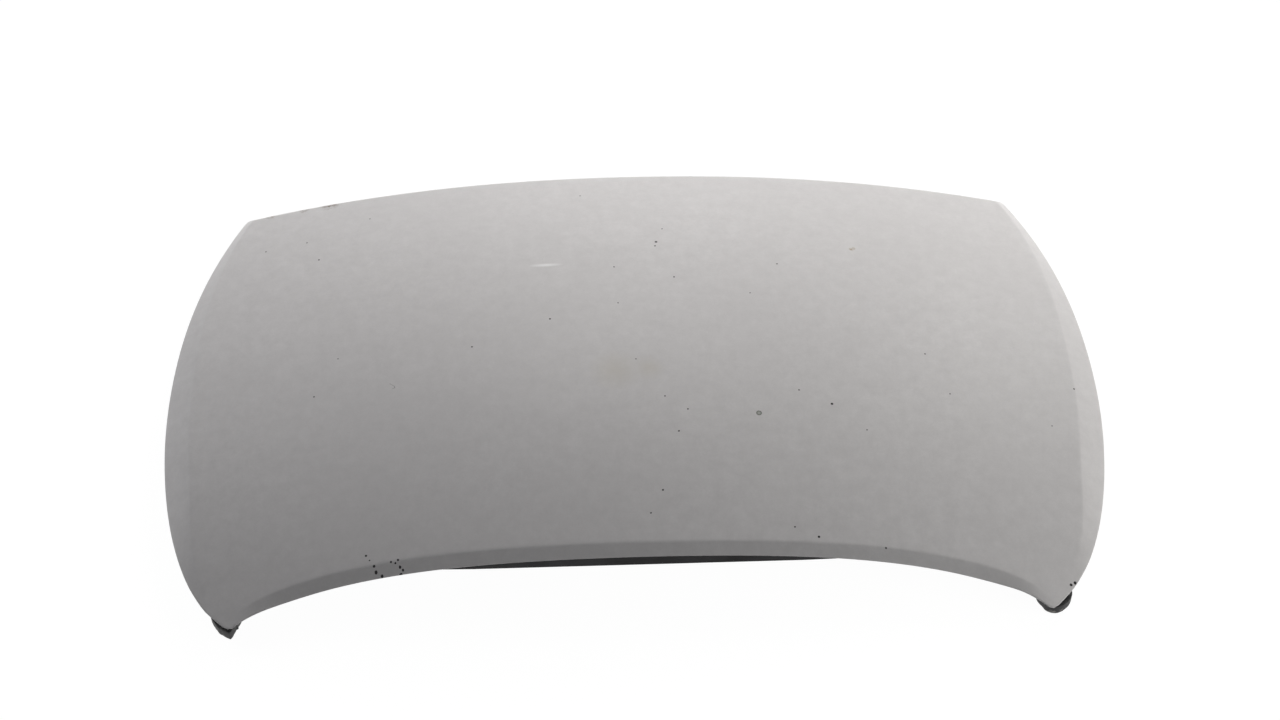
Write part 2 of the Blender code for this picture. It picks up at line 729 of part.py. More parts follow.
def build_corner_pad(name, seat, sheet, rubber):
    """The rubber pad under a rear corner. Its foot stands on the floor, out of line with its neck so that it
    reaches past the corner of the skin."""
    clear = sheet + PAD_SEAT * math.hypot(seat.across, seat.along)
    floor = FLOOR - seat.level
    out = math.copysign(PAD_OUT, seat.x)
    neck = STUD / 2
    rounding = PAD_ROUNDING
    rings = [(0, neck, clear + COLLAR_HEIGHT), (0, COLLAR / 2, clear + COLLAR_EDGE), (0, COLLAR / 2, clear),
             (0, neck, clear), (0, neck, -clear), (0, PAD_SEAT, -clear), (PAD_NECK_SHARE, PAD_SEAT, -PAD_NECK),
             (1, PAD_RADIUS, -PAD_SHOULDER), (1, PAD_RADIUS, floor + rounding),
             (1, PAD_RADIUS - rounding * 0.3, floor + rounding * 0.3), (1, PAD_RADIUS - rounding, floor)]
    bm = bmesh.new()
    key = bm.verts.layers.int.new("number")
    edges = None
    for share, radius, height in rings:
        ring = [Vector((p.x, p.y, height))
                for p in circle(out * share, -PAD_BACK * share, radius, ROUND_STEPS)]
        if edges is None:
            verts, edges = add_ring(bm, ring, key, height)
            bm.faces.new(verts)
        else:
            edges = grow(bm, edges, lambda n, ring=ring: ring[n], key)
    bmesh.ops.edgeloop_fill(bm, edges=edges)
    bmesh.ops.recalc_face_normals(bm, faces=bm.faces)
    add_object(name, finish_mesh(bm, name, sharp=50), rubber, (seat.x, seat.y, seat.level))


def build_sealant(compound):
    """Sealant pads between the rims of the pockets and the skin."""
    gap = RIM_DEPTH - INNER / 2 - SKIN / 2 - 2 * CLEARANCE
    number = 0
    for corners in pocket_corners():
        outline = rounded(corners, POCKET_RADIUS)
        middle = inset(outline, POCKET_WALL + POCKET_RIM / 2)
        point = middle[1] if min(c.y for c in corners) > POCKET_ROWS[0][1] else middle[7]
        if abs(point.x) < POCKET_COLUMNS[0][1]:
            continue
        number += 1
        across, along = slope(point.x, point.y)
        up = Vector((-across, -along, 1)).normalized()
        turn = Vector((0, 0, 1)).rotation_difference(up).to_matrix()
        base = Vector((point.x, point.y, form(point.x, point.y))) - up * (RIM_DEPTH - INNER / 2 - CLEARANCE)
        tall = gap * up.z
        flat = SEALANT_RADIUS - SEALANT_BULGE
        profile = [(0, tall), (flat, tall), (SEALANT_RADIUS, tall / 2), (flat, 0), (0, 0)]
        build_turned(f"sealant_pad_{number:02d}", profile, compound, base, turn, SEALANT_STEPS)


clear_scene()
PARTS = bpy.data.collections.new("car_bonnet")
bpy.context.scene.collection.children.link(PARTS)
ROOT = bpy.data.objects.new("bonnet", None)
PARTS.objects.link(ROOT)
ROOT.location = (0, -(LENGTH - REAR_SAG - TIP_HOOK) / 2, -FLOOR)

BODY_PAINT = material("body_paint", (0.56, 0.55, 0.54), 0.32, coat=0.6)
INNER_PAINT = material("inner_paint", (0.075, 0.074, 0.076), 0.55)
STEEL = material("plain_steel", (0.35, 0.35, 0.36), 0.45, metallic=1.0)
ZINC = material("zinc_plate", (0.55, 0.54, 0.50), 0.35, metallic=1.0)
RUBBER = material("black_rubber", (0.020, 0.020, 0.021), 0.80)
PLASTIC = material("black_plastic", (0.030, 0.030, 0.032), 0.50)
SEALANT = material("sealant", (0.55, 0.50, 0.40), 0.90)

build_skin(BODY_PAINT)
build_inner_frame(INNER_PAINT)
build_striker(STEEL, ZINC)
build_hinge_seat("left", -1, STEEL, ZINC)
build_hinge_seat("right", 1, STEEL, ZINC)
build_fittings(RUBBER, PLASTIC)
build_sealant(SEALANT)
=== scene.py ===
import functools
import json
import math

import bmesh
import bpy
from mathutils import Matrix, Vector


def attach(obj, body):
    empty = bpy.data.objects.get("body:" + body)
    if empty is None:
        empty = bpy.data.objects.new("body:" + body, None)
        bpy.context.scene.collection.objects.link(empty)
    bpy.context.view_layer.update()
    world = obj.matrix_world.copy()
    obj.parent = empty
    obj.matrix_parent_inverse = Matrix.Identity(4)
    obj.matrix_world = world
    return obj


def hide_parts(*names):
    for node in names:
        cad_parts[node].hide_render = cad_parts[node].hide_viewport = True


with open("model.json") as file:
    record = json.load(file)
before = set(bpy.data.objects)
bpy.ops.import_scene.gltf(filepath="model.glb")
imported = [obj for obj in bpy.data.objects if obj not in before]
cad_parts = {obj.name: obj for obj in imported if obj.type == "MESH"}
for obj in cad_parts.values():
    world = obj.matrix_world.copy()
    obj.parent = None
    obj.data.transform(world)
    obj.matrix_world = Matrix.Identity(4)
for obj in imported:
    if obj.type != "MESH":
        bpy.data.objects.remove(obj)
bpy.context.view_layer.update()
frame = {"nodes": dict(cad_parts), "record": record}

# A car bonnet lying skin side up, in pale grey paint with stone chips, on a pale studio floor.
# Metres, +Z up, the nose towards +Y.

# Outline and form of the skin, as in the part. The windscreen edge crosses the centre line at y = 0.
LENGTH = 0.807
TIP_X = 0.5862
REAR_SAG = 0.0562
REAR_QUARTIC = 0.9096
TIP_HOOK = 0.0144
HOOK_POWER = 16
HEEL_OUT = 0.0349
HEEL_UP = 0.0318
NOSE_CORNER_X = 0.6232
NOSE_SAG = 0.0539
NOSE_POWER = 2.36
HEEL_PULL = 0.0912
HEEL_ANGLE = math.radians(49.35)
CORNER_PULL = 0.4639
CORNER_ANGLE = math.radians(70.66)
REAR_HEIGHT = 0.099
MIDDLE_HEIGHT = 0.129
NOSE_HEIGHT = 0.043
REAR_CROWN = 0.060
NOSE_CROWN = 0.050
CROWN_HALF = 0.66
REAR_BAND = 0.0145
REAR_DROP = 0.0110
REAR_FADE = 0.17
EDGE_BAND = 0.0155
NOSE_DROP = 0.010
FLANK_WIDTH = 0.040
FLANK_DROP = 0.020
FLANK_RISE = 0.30
FLANK_FALL = 0.42
NOSE_BLEND = 0.60
SKIN = 0.0008
HEM_THICK = 0.0021
HEM_RETURN = 0.008
ACROSS = 30
ALONG = 18
CROWDING = 0.25
TOTAL = 2 * (ACROSS + ALONG)
ORIGIN = Vector((0, -(LENGTH - REAR_SAG - TIP_HOOK) / 2, -0.003797))

# Finer steps and rounder edges than the part's own. The right tip at the windscreen is drawn out a little
# further than the left one.
FINE = 4
CREASE_FILLET = 0.0025
FILLET_STEPS = 3
BAND_SHARES = (0.4, 0.8)
FOLD_STEPS = 6
DEEP = 0.012
TIP_REACH = 0.0034
TIP_BLEND = 0.048


class Field:
    """A value that varies over a surface. Arithmetic on it adds Math nodes."""

    def __init__(self, shade, socket):
        self.shade = shade
        self.socket = socket

    def math(self, operation, *values, clamp=False):
        return self.shade.node("ShaderNodeMath", {"operation": operation, "use_clamp": clamp},
                               dict(enumerate(values)))

    def __add__(self, other):
        return self.math("ADD", self, other)

    __radd__ = __add__

    def __sub__(self, other):
        return self.math("SUBTRACT", self, other)

    def __rsub__(self, other):
        return self.math("SUBTRACT", other, self)

    def __mul__(self, other):
        return self.math("MULTIPLY", self, other)

    __rmul__ = __mul__

    def __or__(self, other):
        return self.math("MAXIMUM", self, other)

    def ramp(self, low, high):
        """0 below low, 1 above high, and a straight line between them."""
        return self.math("MULTIPLY_ADD", self, 1 / (high - low), -low / (high - low), clamp=True)


class Nodes:
    """The nodes of a material or of the sky."""

    def __init__(self, tree):
        self.tree = tree

    def node(self, kind, settings=None, values=None, out=0):
        made = self.tree.nodes.new(kind)
        for name, value in (settings or {}).items():
            setattr(made, name, value)
        for name, value in (values or {}).items():
            self.feed(made.inputs[name], value)
        return Field(self, made.outputs[out])

    def feed(self, socket, value):
        if isinstance(value, Field):
            self.tree.links.new(value.socket, socket)
        else:
            socket.default_value = value

    def sight(self):
        """1 for rays of the camera, of gloss and of clear things, and 0 for the rest."""
        kinds = ("Is Camera Ray", "Is Glossy Ray", "Is Transmission Ray")
        return functools.reduce(Field.__or__, [self.node("ShaderNodeLightPath", out=kind) for kind in kinds])

    def lay_over(self, share, under, over):
        """One finish or light over another, by a share of 0 to 1."""
        return self.node("ShaderNodeMixShader", None, {0: share, 1: under, 2: over})


class Shade(Nodes):
    """The nodes of one material."""

    def __init__(self, name, **constants):
        self.material = bpy.data.materials.new(name)
        self.material.use_nodes = True
        super().__init__(self.material.node_tree)
        self.surface = self.tree.nodes["Principled BSDF"]
        for socket, value in constants.items():
            self.feed(self.surface.inputs[socket.replace("_", " ").title().replace("Ior", "IOR")], value)

    def place(self):
        """Position on the piece, in metres, the same as in the part."""
        return self.node("ShaderNodeTexCoord", out="Object")

    def noise(self, place, scale, detail, roughness):
        return self.node("ShaderNodeTexNoise", None,
                         {"Vector": place, "Scale": scale, "Detail": detail, "Roughness": roughness})

    def shifted(self, place, scale, reach):
        """The place moved about by a noise, so that what is drawn round it has a ragged edge."""
        noise = self.node("ShaderNodeTexNoise", None, {"Vector": place, "Scale": scale, "Detail": 2.0}, "Color")
        centred = self.node("ShaderNodeVectorMath", {"operation": "SUBTRACT"}, {0: noise, 1: (0.5, 0.5, 0.5)})
        small = self.node("ShaderNodeVectorMath", {"operation": "SCALE"}, {0: centred, "Scale": reach})
        return self.node("ShaderNodeVectorMath", {"operation": "ADD"}, {0: place, 1: small})

    def away(self, place, where):
        """Distance of the place from a point."""
        return self.node("ShaderNodeVectorMath", {"operation": "DISTANCE"}, {0: place, 1: where}, "Value")

    def cells(self, place, scale):
        """Distance from the middle of small cells."""
        return self.node("ShaderNodeTexVoronoi", None, {"Vector": place, "Scale": scale}, "Distance")

    def stretched(self, place, factors):
        return self.node("ShaderNodeVectorMath", {"operation": "MULTIPLY"}, {0: place, 1: factors})

    def mix(self, share, first, second):
        first, second = [c if isinstance(c, Field) else (*c, 1.0) for c in (first, second)]
        return self.node("ShaderNodeMix", {"data_type": "RGBA"}, {0: share, 6: first, 7: second}, 2)

    def bump(self, height, distance):
        return self.node("ShaderNodeBump", None, {"Height": height, "Distance": distance, "Strength": 1.0})

    def set(self, **fields):
        """Feed the surface's sockets, and hand over the finished material."""
        for name, value in fields.items():
            self.feed(self.surface.inputs[name.replace("_", " ").title()], value)
        return self.material


def smooth(t):
    """0 up to 0, 1 from 1 on, and an even ease between them."""
    t = min(max(t, 0.0), 1.0)
    return t * t * (3 - 2 * t)


def form(x, y):
    """Height of the skin over the plan, before any edge turns down."""
    v = y / LENGTH
    rear = REAR_HEIGHT * (1 - v) * (1 - 2 * v)
    middle = MIDDLE_HEIGHT * 4 * v * (1 - v)
    nose = NOSE_HEIGHT * v * (2 * v - 1)
    crown = REAR_CROWN + (NOSE_CROWN - REAR_CROWN) * min(max(v, 0.0), 1.0)
    return rear + middle + nose - crown * (x / CROWN_HALF) ** 2


def on_form(plan):
    return Vector((plan.x, plan.y, form(plan.x, plan.y)))


def rear_edge(s):
    """Windscreen edge in plan, from the left tip at -1 to the right tip at 1."""
    sag = REAR_SAG * ((1 - REAR_QUARTIC) * s ** 2 + REAR_QUARTIC * s ** 4)
    return Vector((TIP_X * s, -sag - TIP_HOOK * s ** HOOK_POWER))


def nose_edge(s):
    """Nose edge in plan, from the left corner at -1 to the right corner at 1."""
    return Vector((NOSE_CORNER_X * s, LENGTH - NOSE_SAG * abs(s) ** NOSE_POWER))


def side_edge(t):
    """Right flank in plan, from the heel beside the tip at 0 to the nose corner at 1."""
    heel = rear_edge(1) + Vector((HEEL_OUT, HEEL_UP))
    corner = nose_edge(1)
    heel_handle = heel + HEEL_PULL * Vector((math.cos(HEEL_ANGLE), math.sin(HEEL_ANGLE)))
    corner_handle = corner + CORNER_PULL * Vector((math.cos(CORNER_ANGLE), -math.sin(CORNER_ANGLE)))
    back = 1 - t
    return (back ** 3 * heel + 3 * back ** 2 * t * heel_handle
            + 3 * back * t ** 2 * corner_handle + t ** 3 * corner)


def evenly(curve, count, fine=240):
    """count + 1 points at equal steps along a curve that a function of 0 to 1 gives."""
    points = [curve(k / fine) for k in range(fine + 1)]
    reach = [0.0]
    for a, b in zip(points, points[1:]):
        reach.append(reach[-1] + (b - a).length)
    found = []
    k = 0
    for step in range(count + 1):
        wanted = reach[-1] * step / count
        while k < fine - 1 and reach[k + 1] < wanted:
            k += 1
        share = (wanted - reach[k]) / (reach[k + 1] - reach[k])
        found.append(points[k].lerp(points[k + 1], min(share, 1.0)))
    return found


def mitre(points, k):
    """Inward vector at corner k of a counter-clockwise ring that moves both its sides in by one unit."""
    before = (points[k] - points[k - 1]).normalized()
    after = (points[(k + 1) % len(points)] - points[k]).normalized()
    first = Vector((-before.y, before.x))
    second = Vector((-after.y, after.x))
    return (first + second) / (1 + first.dot(second))


def edge_stations():
    """Point in plan, band width and fall at each station, counter-clockwise from the left rear tip."""
    rear, nose = [], []
    for i in range(ACROSS):
        s = -1 + 2 * i / ACROSS
        s = s * (1 + CROWDING) - CROWDING * s ** 3
        rear.append((rear_edge(s), REAR_BAND, REAR_DROP * smooth((1 - abs(s)) / REAR_FADE)))
        nose.append((nose_edge(-s), EDGE_BAND, NOSE_DROP))
    side = [(rear_edge(1), REAR_BAND, 0.0)]
    for j, point in enumerate(evenly(side_edge, ALONG - 1)):
        t = j / (ALONG - 1)
        flank = smooth(t / FLANK_RISE) * (1 - smooth((t - FLANK_FALL) / (1 - FLANK_FALL)))
        fall = FLANK_DROP * flank + NOSE_DROP * smooth((t - NOSE_BLEND) / (1 - NOSE_BLEND))
        side.append((point, EDGE_BAND + (FLANK_WIDTH - EDGE_BAND) * flank, fall))
    mirrored = [(Vector((-p.x, p.y)), band, fall) for p, band, fall in reversed(side)]
    return rear + side[:-1] + nose + mirrored[:-1]


CORNERS = (0, ACROSS, ACROSS + 1, ACROSS + ALONG, 2 * ACROSS + ALONG, TOTAL - 1)


def finer(ring):
    """The ring with each step cut in FINE, on smooth curves that stop at the corners."""
    found = []
    for k, here in enumerate(ring):
        after = ring[(k + 1) % TOTAL]
        start = (after - ring[k - 1]) / 2 if k not in CORNERS else None
        end = (ring[(k + 2) % TOTAL] - here) / 2 if (k + 1) % TOTAL not in CORNERS else None
        step = after - here
        if start is None and end is None:
            start = end = step
        elif start is None:
            start = 1.5 * step - end / 2
        elif end is None:
            end = 1.5 * step - start / 2
        for n in range(FINE):
            t = n / FINE
            found.append(here * (2 * t ** 3 - 3 * t ** 2 + 1) + after * (3 * t ** 2 - 2 * t ** 3)
                         + start * (t ** 3 - 2 * t ** 2 + t) + end * (t ** 3 - t ** 2))
    return found


def eased(ring, passes):
    """The ring with its corners rounded off a little."""
    for _ in range(passes):
        ring = [(ring[k - 1] + here * 2 + ring[(k + 1) % len(ring)]) / 4 for k, here in enumerate(ring)]
    return ring


def edge_rings():
    """Rim, crease and a deeper line as fine rings. The rim is lowered by the fall of its band."""
    stations = edge_stations()
    plan = [s[0] for s in stations]
    rim, crease, deep = [], [], []
    for k, (point, band, fall) in enumerate(stations):
        inward = mitre(plan, k)
        rim.append(Vector((point.x, point.y, fall)))
        for ring, distance in ((crease, band), (deep, band + DEEP)):
            inner = point + inward * distance
            ring.append(Vector((inner.x, inner.y, 0)))
    rim, crease, deep = [eased(finer(ring), 1) for ring in (rim, crease, deep)]
    lowered = [on_form(p) - Vector((0, 0, p.z)) for p in rim]
    return lowered, [on_form(p) for p in crease], deep


def bend(a, corner, b, t):
    """Point on a curve from a to b that starts and ends along the lines to the corner."""
    return a * (1 - t) ** 2 + corner * 2 * t * (1 - t) + b * t ** 2


def skin_rings():
    """Rings of the skin from the edge of its broad middle over the crease, the band and the hem's fold."""
    rim, crease, deep = edge_rings()
    count = len(rim)
    rings = []
    starts = [on_form(c + (d - c) * (CREASE_FILLET / DEEP)) for c, d in zip(crease, deep)]
    slants = [(c - r).normalized() for c, r in zip(crease, rim)]
    feet = [c - s * CREASE_FILLET for c, s in zip(crease, slants)]
    for n in range(FILLET_STEPS + 1):
        t = n / FILLET_STEPS
        rings.append([bend(a, c, b, t) for a, c, b in zip(starts, crease, feet)])
    for share in BAND_SHARES:
        rings.append([f.lerp(r, share) for f, r in zip(feet, rim)])
    radius = HEM_THICK / 2
    away = []
    for k in range(count):
        run = rim[(k + 1) % count] - rim[k - 1]
        away.append(run.cross(slants[k]).normalized())
    for n in range(FOLD_STEPS + 1):
        a = math.pi * n / FOLD_STEPS
        rings.append([r + s * radius * (1 - math.sin(a)) - out * radius * (1 - math.cos(a))
                      for r, s, out in zip(rim, slants, away)])
    for reach in (HEM_RETURN / 2, HEM_RETURN):
        rings.append([r + s * reach - out * HEM_THICK for r, s, out in zip(rim, slants, away)])
    return rings


def station_of(i, j, across, along):
    """Number of the fine station at a border corner of the grid."""
    if j == 0:
        return i
    if i == across:
        return across + j
    if j == along:
        return across + along + (across - i)
    return (2 * across + along + (along - j)) % (2 * (across + along))


def build_skin(paint):
    """The broad middle as a grid spanned by its border, then rings out to the hem, as one closed sheet."""
    across, along = ACROSS * FINE, ALONG * FINE
    rings = skin_rings()
    border = [Vector((p.x, p.y)) for p in rings[0]]
    bm = bmesh.new()
    grid = {}

    def at(i, j):
        return border[station_of(i, j, across, along)]

    for i in range(across + 1):
        for j in range(along + 1):
            u, v = i / across, j / along
            plan = (at(i, 0) * (1 - v) + at(i, along) * v + at(0, j) * (1 - u) + at(across, j) * u
                    - at(0, 0) * (1 - u) * (1 - v) - at(across, 0) * u * (1 - v)
                    - at(0, along) * (1 - u) * v - at(across, along) * u * v)
            grid[i, j] = bm.verts.new(on_form(plan) + ORIGIN)
    for i in range(across):
        for j in range(along):
            bm.faces.new((grid[i, j], grid[i + 1, j], grid[i + 1, j + 1], grid[i, j + 1]))
    inner = [None] * len(border)
    for (i, j), vert in grid.items():
        if i in (0, across) or j in (0, along):
            inner[station_of(i, j, across, along)] = vert
    for ring in rings[1:]:
        outer = [bm.verts.new(p + ORIGIN) for p in ring]
        for k in range(len(outer)):
            after = (k + 1) % len(outer)
            bm.faces.new((inner[after], inner[k], outer[k], outer[after]))
        inner = outer
    tip = min((p + ORIGIN for p in rings[-1] if p.x > 0), key=lambda p: p.y)
    for vert in bm.verts:
        near = max(0.0, 1 - (vert.co - tip).length / TIP_BLEND)
        vert.co.y -= TIP_REACH * smooth(near)
    bmesh.ops.recalc_face_normals(bm, faces=bm.faces)
    skin = finish("skin", bm, paint)
    if max(skin.data.polygons, key=lambda f: f.area).normal.z < 0:
        skin.data.flip_normals()
    thicken(skin, SKIN)
    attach(skin, "root")
    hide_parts("outer_skin")


def finish(name, bm, surface):
    mesh = bpy.data.meshes.new(name)
    bm.to_mesh(mesh)
    bm.free()
    mesh.shade_smooth()
    if surface:
        mesh.materials.append(surface)
    made = bpy.data.objects.new(name, mesh)
    bpy.context.scene.collection.objects.link(made)
    return made


def thicken(piece, thickness):
    """The sheet given its thickness, half to each side, as plain mesh."""
    shell = piece.modifiers.new("sheet", "SOLIDIFY")
    shell.thickness = thickness
    shell.offset = 0
    shell.use_even_offset = True
    graph = bpy.context.evaluated_depsgraph_get()
    solid = bpy.data.meshes.new_from_object(piece.evaluated_get(graph))
    piece.modifiers.clear()
    piece.data = solid


# Fittings under the frame, as in the part: radius, depth and rounding, and where the studs pass the sheet.
SHEET = 0.00075
NECK = 0.004
COLLAR = 0.0055
COLLAR_HEIGHT = 0.003
COLLAR_EDGE = 0.0012
ROUND = 48
BUFFER = (0.013, 0.012, 0.004)
BUFFER_SEAT = Vector((0.500, 0.3378, 0.01820))
BUSH = (0.010, 0.014, 0.002)
BUSH_SEAT = Vector((-0.350, 0.1160, 0.07810))
BUSH_SOCKET = 0.005
BUSH_FLOOR = 0.004
BUSH_CENTRE = 0.001
PAD_SEAT = Vector((0.5825, -0.3987, 0.03248))
PAD_CLEAR = 0.0029
PAD_TOP = 0.0075
PAD_OUT = 0.012
PAD_BACK = 0.4167
PAD_RADIUS = 0.025
PAD_ROUNDING = 0.006
PAD_LEAN = 0.15
PAD_WAIST = 0.008
PAD_SHOULDER = 0.012
PAD_BEND = 0.0012
# Reach of each rear pad from its middle, round from -180 degrees: the left one is narrow and ends in a torn lip.
PAD_REACH = {
    "left": ((-180, 0.0210), (-163, 0.0195), (-145, 0.0190), (-129, 0.0200), (-101, 0.0245), (-87, 0.0280),
             (-79, 0.0315), (-76, 0.0335), (-70, 0.0310), (-59, 0.0265), (-46, 0.0225), (-37, 0.0235),
             (-30, 0.0215), (0, 0.0225), (60, 0.0240), (120, 0.0240), (180, 0.0210)),
    "right": ((-180, 0.0255), (-143, 0.0240), (-120, 0.0268), (-105, 0.0275), (-90, 0.0275), (-73, 0.0263),
              (-56, 0.0250), (13, 0.0252), (60, 0.0250), (120, 0.0250), (180, 0.0255)),
}
STRIKER_SEAT = Vector((0, 0.3538, 0.04296))
STRIKER_BOLT_X = 0.042
STRIKER_UNDER = 0.00365
STRIKER_REACH = 0.028
STRIKER_HALF = 0.019
STRIKER_WIRE = 0.004
STRIKER_BEND = 0.0105
STRIKER_SUNK = 0.0003
LOOP_STEPS = 12
LOOP_ROUND = 8
BOLT_TOP = 0.01005
BOLT_UNDER = 0.00395
BOLT_SHANK = 0.004
BOLT_FLANGE = 0.0087
BOLT_SHOULDER = 0.0012
BOLT_HEAD = 0.0065
BOLT_HEIGHT = 0.0055
BOLT_TIP = 0.0008
HEAD_ROUNDING = 0.0010

# Small roundings, and what counts as one point, as flat, as sharp and as a hard edge in the shading.
SMALL = 0.0005
ARC_STEPS = 6
FINE_EDGE = 0.0006
PLATE_EDGE = 0.0004
SAME = 0.00001
FLAT = math.radians(1)
SHARP = math.radians(28)
HARD = math.radians(42)


def softened(points, cut, steps=4):
    """The line with each inner corner turned into a bend that starts at most the cut before it."""
    found = [points[0]]
    for before, here, after in zip(points, points[1:], points[2:]):
        back, on = before - here, after - here
        a = here + back * min(0.5, cut / back.length)
        b = here + on * min(0.5, cut / on.length)
        found += [bend(a, here, b, n / steps) for n in range(steps + 1)]
    return found + [points[-1]]


def around(middle, reach):
    """A level ring about a point. The reach from it is a length or a function of the angle in radians."""
    ring = []
    for n in range(ROUND):
        a = 2 * math.pi * n / ROUND - math.pi
        far = reach(a) if callable(reach) else reach
        ring.append(middle + Vector((math.cos(a), math.sin(a), 0)) * far)
    return ring


def stacked(node, rings):
    """A closed piece from rings of points, in place of a piece of the part."""
    bm = bmesh.new()
    before = None
    for ring in rings:
        verts = [bm.verts.new(p) for p in ring]
        if before is None:
            bm.faces.new(verts)
        else:
            for k in range(len(verts)):
                bm.faces.new((before[k - 1], before[k], verts[k], verts[k - 1]))
        before = verts
    bm.faces.new(before)
    bmesh.ops.recalc_face_normals(bm, faces=bm.faces)
    stand_in(node, finish(node + "_fine", bm, None))


def stand_in(node, piece):
    """The piece takes the place, the finish and the slot of a piece of the part."""
    slot = SLOTS[node]
    piece.data.materials.clear()
    piece.data.materials.append(SURFACES[slot])
    piece.data.shade_smooth()
    piece.data.set_sharp_from_angle(angle=HARD)
    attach(piece, "root")
    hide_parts(node)


def turned(node, profile, seat, shape=None):
    """A round piece from its profile of radius and height, or one whose rings a function shapes."""
    points = [Vector((r, z)) for r, z in profile]
    rings = []
    for p in softened(points, SMALL):
        middle = seat + Vector((0, 0, p.y))
        rings.append(around(middle, shape(p) if shape else p.x))
    stacked(node, rings)


def rounded_foot(radius, low, rounding):
    """Quarter of a circle from the side of a round piece to its lower face."""
    turns = [math.pi / 2 * n / ARC_STEPS for n in range(ARC_STEPS + 1)]
    return [(radius - rounding * (1 - math.cos(a)), low + rounding * (1 - math.sin(a))) for a in turns]


def fitting_profile(radius, height, rounding):
    """Collar over the sheet, neck through it and body below it."""
    return [(NECK, SHEET + COLLAR_HEIGHT), (COLLAR, SHEET + COLLAR_EDGE), (COLLAR, SHEET), (NECK, SHEET),
            (NECK, -SHEET), (radius, -SHEET)] + rounded_foot(radius, -height, rounding)


def pad_reach(side, angle):
    """Reach of a rear pad at an angle in radians, eased between the stated ones."""
    steps = PAD_REACH[side]
    turn = math.degrees(angle)
    for (a, low), (b, high) in zip(steps, steps[1:]):
        if turn <= b:
            return low + (high - low) * smooth((turn - a) / (b - a))
    return steps[-1][1]


def build_pad(name, side):
    """A rear corner pad: collar, neck, and the broad body that reaches out past the corner of the skin."""
    seat = Vector((PAD_SEAT.x * side, PAD_SEAT.y, PAD_SEAT.z))
    line = [(0, NECK, PAD_CLEAR + COLLAR_HEIGHT), (0, COLLAR, PAD_CLEAR + COLLAR_EDGE), (0, COLLAR, PAD_CLEAR),
            (0, NECK, PAD_CLEAR), (0, NECK, -PAD_CLEAR), (0, PAD_TOP, -PAD_CLEAR),
            (PAD_LEAN * PAD_OUT, PAD_TOP, -PAD_WAIST), (PAD_OUT, PAD_RADIUS, -PAD_SHOULDER)]
    line += [(PAD_OUT, radius, z) for radius, z in rounded_foot(PAD_RADIUS, -seat.z, PAD_ROUNDING)]
    rings = []
    for p in softened([Vector(q) for q in line], PAD_BEND):
        middle = seat + Vector((p.x * side, -p.x * PAD_BACK, p.z))
        share = p.x / PAD_OUT
        rings.append(around(middle, lambda a, p=p, share=share:
                            p.y * (1 + share * (pad_reach(name, a) / PAD_RADIUS - 1))))
    stacked("rear_corner_pad_" + name, rings)


def six_sided(p):
    """Ring of a bolt: round at the shank and the flange, six-sided over the height of the head."""
    if p.y > -BOLT_UNDER - BOLT_SHOULDER - SMALL:
        return p.x
    flat = p.x * math.cos(math.pi / 6)
    return lambda a: flat / math.cos((a + math.pi) % (math.pi / 3) - math.pi / 6)


def build_loop():
    """The striker's wire loop: two legs, two bends and the bar between them, from a bevelled line."""
    curve = bpy.data.curves.new("loop", "CURVE")
    curve.dimensions = "3D"
    curve.bevel_depth = STRIKER_WIRE
    curve.bevel_resolution = LOOP_ROUND
    curve.use_fill_caps = True
    low = STRIKER_BEND - STRIKER_REACH
    path = [(-STRIKER_HALF, -STRIKER_SUNK)]
    for step in range(LOOP_STEPS + 1):
        a = math.pi / 2 * step / LOOP_STEPS
        path.append((STRIKER_BEND * (1 - math.cos(a)) - STRIKER_HALF, low - STRIKER_BEND * math.sin(a)))
    path += [(-x, z) for x, z in reversed(path)]
    spline = curve.splines.new("POLY")
    spline.points.add(len(path) - 1)
    for point, (x, z) in zip(spline.points, path):
        point.co = (x, STRIKER_SEAT.y, z + STRIKER_SEAT.z - STRIKER_UNDER, 1)
    bent = bpy.data.objects.new("loop_line", curve)
    bm = bmesh.new()
    bm.from_mesh(bpy.data.meshes.new_from_object(bent))
    bpy.data.objects.remove(bent)
    bmesh.ops.remove_doubles(bm, verts=bm.verts, dist=SAME)
    stand_in("striker_loop", finish("striker_loop_fine", bm, None))


def build_fittings():
    """Rear pads, front buffers, the striker's bolts and loop, and the prop rod's bush."""
    for name, side in (("left", -1), ("right", 1)):
        build_pad(name, side)
        seat = Vector((BUFFER_SEAT.x * side, BUFFER_SEAT.y, BUFFER_SEAT.z))
        turned("front_buffer_" + name, fitting_profile(*BUFFER), seat)
        end = -BOLT_UNDER - BOLT_HEIGHT
        bolt = [(BOLT_SHANK - BOLT_TIP, BOLT_TOP), (BOLT_SHANK, BOLT_TOP - BOLT_TIP), (BOLT_SHANK, -BOLT_UNDER),
                (BOLT_FLANGE, -BOLT_UNDER), (BOLT_FLANGE, -BOLT_UNDER - BOLT_SHOULDER / 2),
                (BOLT_HEAD, -BOLT_UNDER - BOLT_SHOULDER), (BOLT_HEAD, end + FINE_EDGE),
                (BOLT_HEAD - HEAD_ROUNDING, end)]
        turned("striker_bolt_" + name, bolt, STRIKER_SEAT + Vector((side * STRIKER_BOLT_X, 0, 0)), six_sided)
    socket = [(BUSH_SOCKET, -BUSH[1]), (BUSH_SOCKET, -BUSH_FLOOR), (BUSH_CENTRE, -BUSH_FLOOR)]
    bush = fitting_profile(*BUSH) + socket
    turned("prop_rod_bush", bush, BUSH_SEAT)
    build_loop()


